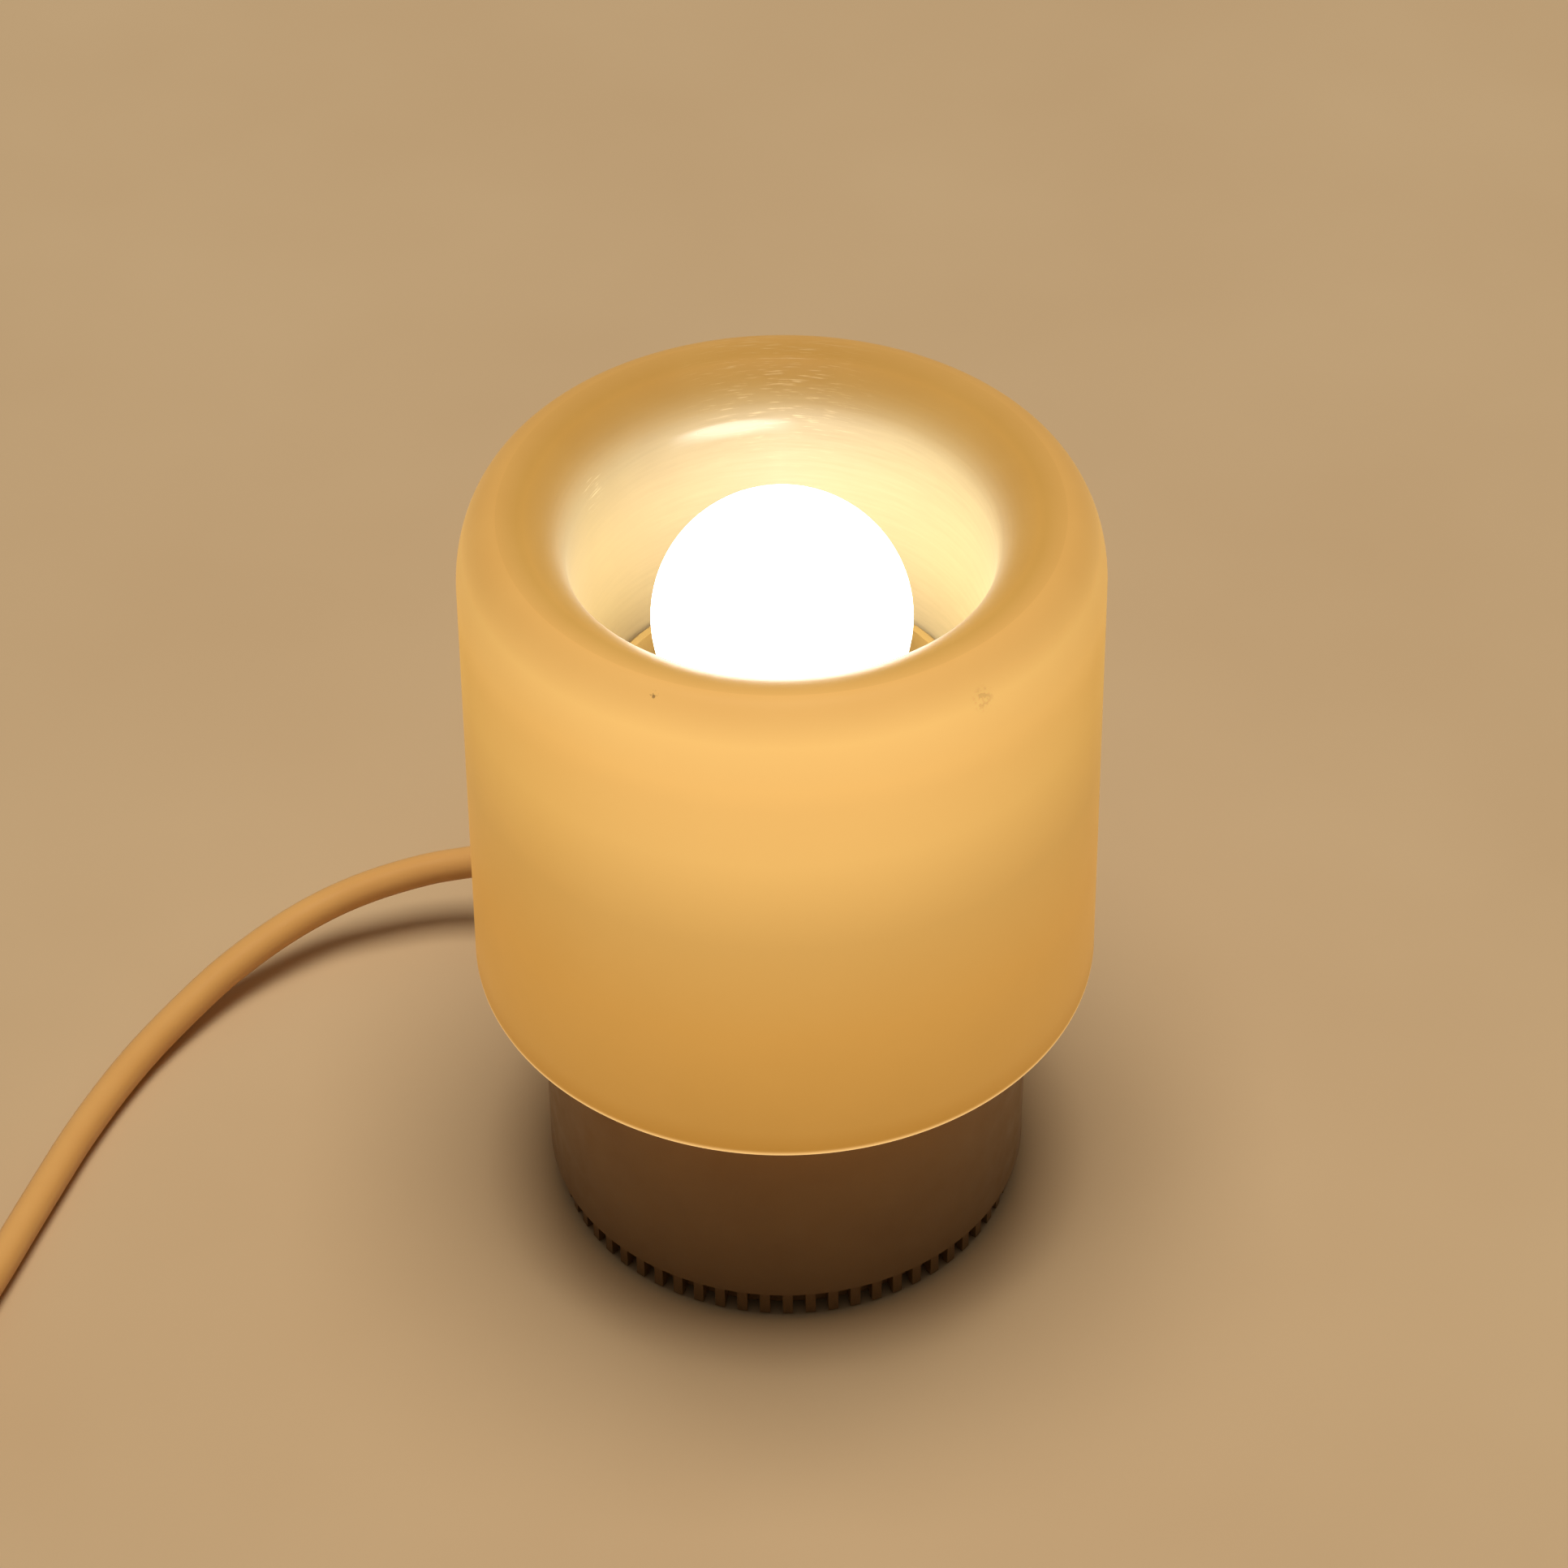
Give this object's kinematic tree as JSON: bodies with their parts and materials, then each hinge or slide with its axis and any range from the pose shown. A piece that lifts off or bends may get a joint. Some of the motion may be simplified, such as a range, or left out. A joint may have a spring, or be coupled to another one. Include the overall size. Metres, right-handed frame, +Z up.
{
  "type": "table lamp",
  "caption": "Small table lamp: lift-off opal shade with a rolled-in mouth around a globe bulb, on a cylindrical base that is pressed down on its toothed foot to switch it.",
  "frame": {"origin": "centre of the lamp at the level of the table it stands on", "axes": "+Z up along the lamp's axis, -Y towards the viewer of the picture, +X to the viewer's right; the cord leaves behind on the left"},
  "size_m": [0.3378, 0.1747, 0.1645],
  "materials": {
    "opal_cream": "satin opal plastic, lit from inside",
    "ivory_plastic": "fine satin moulding",
    "white_plastic": "satin",
    "grey_plastic": "satin",
    "foot_plastic": "satin",
    "pad_rubber": "matt",
    "zinc_steel": "zinc plated",
    "spring_steel": "drawn wire",
    "brass": "stamped",
    "nickel": "nickel plated",
    "bulb_opal": "opal, lit",
    "black_plastic": "satin",
    "cord_pvc": "smooth soft PVC",
    "brown_pvc": "smooth",
    "blue_pvc": "smooth"
  },
  "bodies": {
    "lamp_base": {"housing": "ivory_plastic", "turret": "ivory_plastic", "turret_screws": "zinc_steel", "chassis": "grey_plastic", "chassis_screws": "zinc_steel", "foot_springs": "spring_steel", "switch_body": "black_plastic", "switch_terminals": "brass", "switch_screws": "zinc_steel", "holder_body": "white_plastic", "holder_shell": "brass", "holder_contact": "brass", "nipple": "zinc_steel", "nipple_nut": "zinc_steel", "bulb_globe": "bulb_opal", "bulb_collar": "white_plastic", "bulb_cap": "nickel", "bulb_insulator": "black_plastic", "bulb_contact": "nickel", "strain_relief": "cord_pvc", "cord_inner": "cord_pvc", "cord_grip": "black_plastic", "grip_screws": "zinc_steel", "live_wire": "brown_pvc", "switched_wire": "brown_pvc", "neutral_wire": "blue_pvc", "cord_lead": "cord_pvc", "cord_coil": "cord_pvc", "cord_tail": "cord_pvc", "coil_tie": "black_plastic", "plug_body": "cord_pvc", "plug_pins": "nickel"},
    "push_foot": {"foot": "foot_plastic", "foot_pad": "pad_rubber", "stop_screws": "zinc_steel"},
    "plunger": {"switch_plunger": "white_plastic"},
    "lamp_shade": {"shade": "opal_cream"}
  },
  "joints": [
    {"name": "foot_press", "type": "slide", "parent": "lamp_base", "child": "push_foot", "axis": [0, 0, 1], "range_m": [0, 0.003], "stiffness_N_per_m": 1200, "springref_m": -0.008, "deforming": ["foot_springs"]},
    {"name": "switch_click", "type": "slide", "parent": "lamp_base", "child": "plunger", "axis": [0, 0, 1], "range_m": [0, 0.003]},
    {"name": "shade_lift", "type": "slide", "parent": "lamp_base", "child": "lamp_shade", "axis": [0, 0, 1], "range_m": [0, 0.115]}
  ],
  "couplings": [
    {"joint": "switch_click", "follows": "foot_press", "ratio": 1}
  ]
}
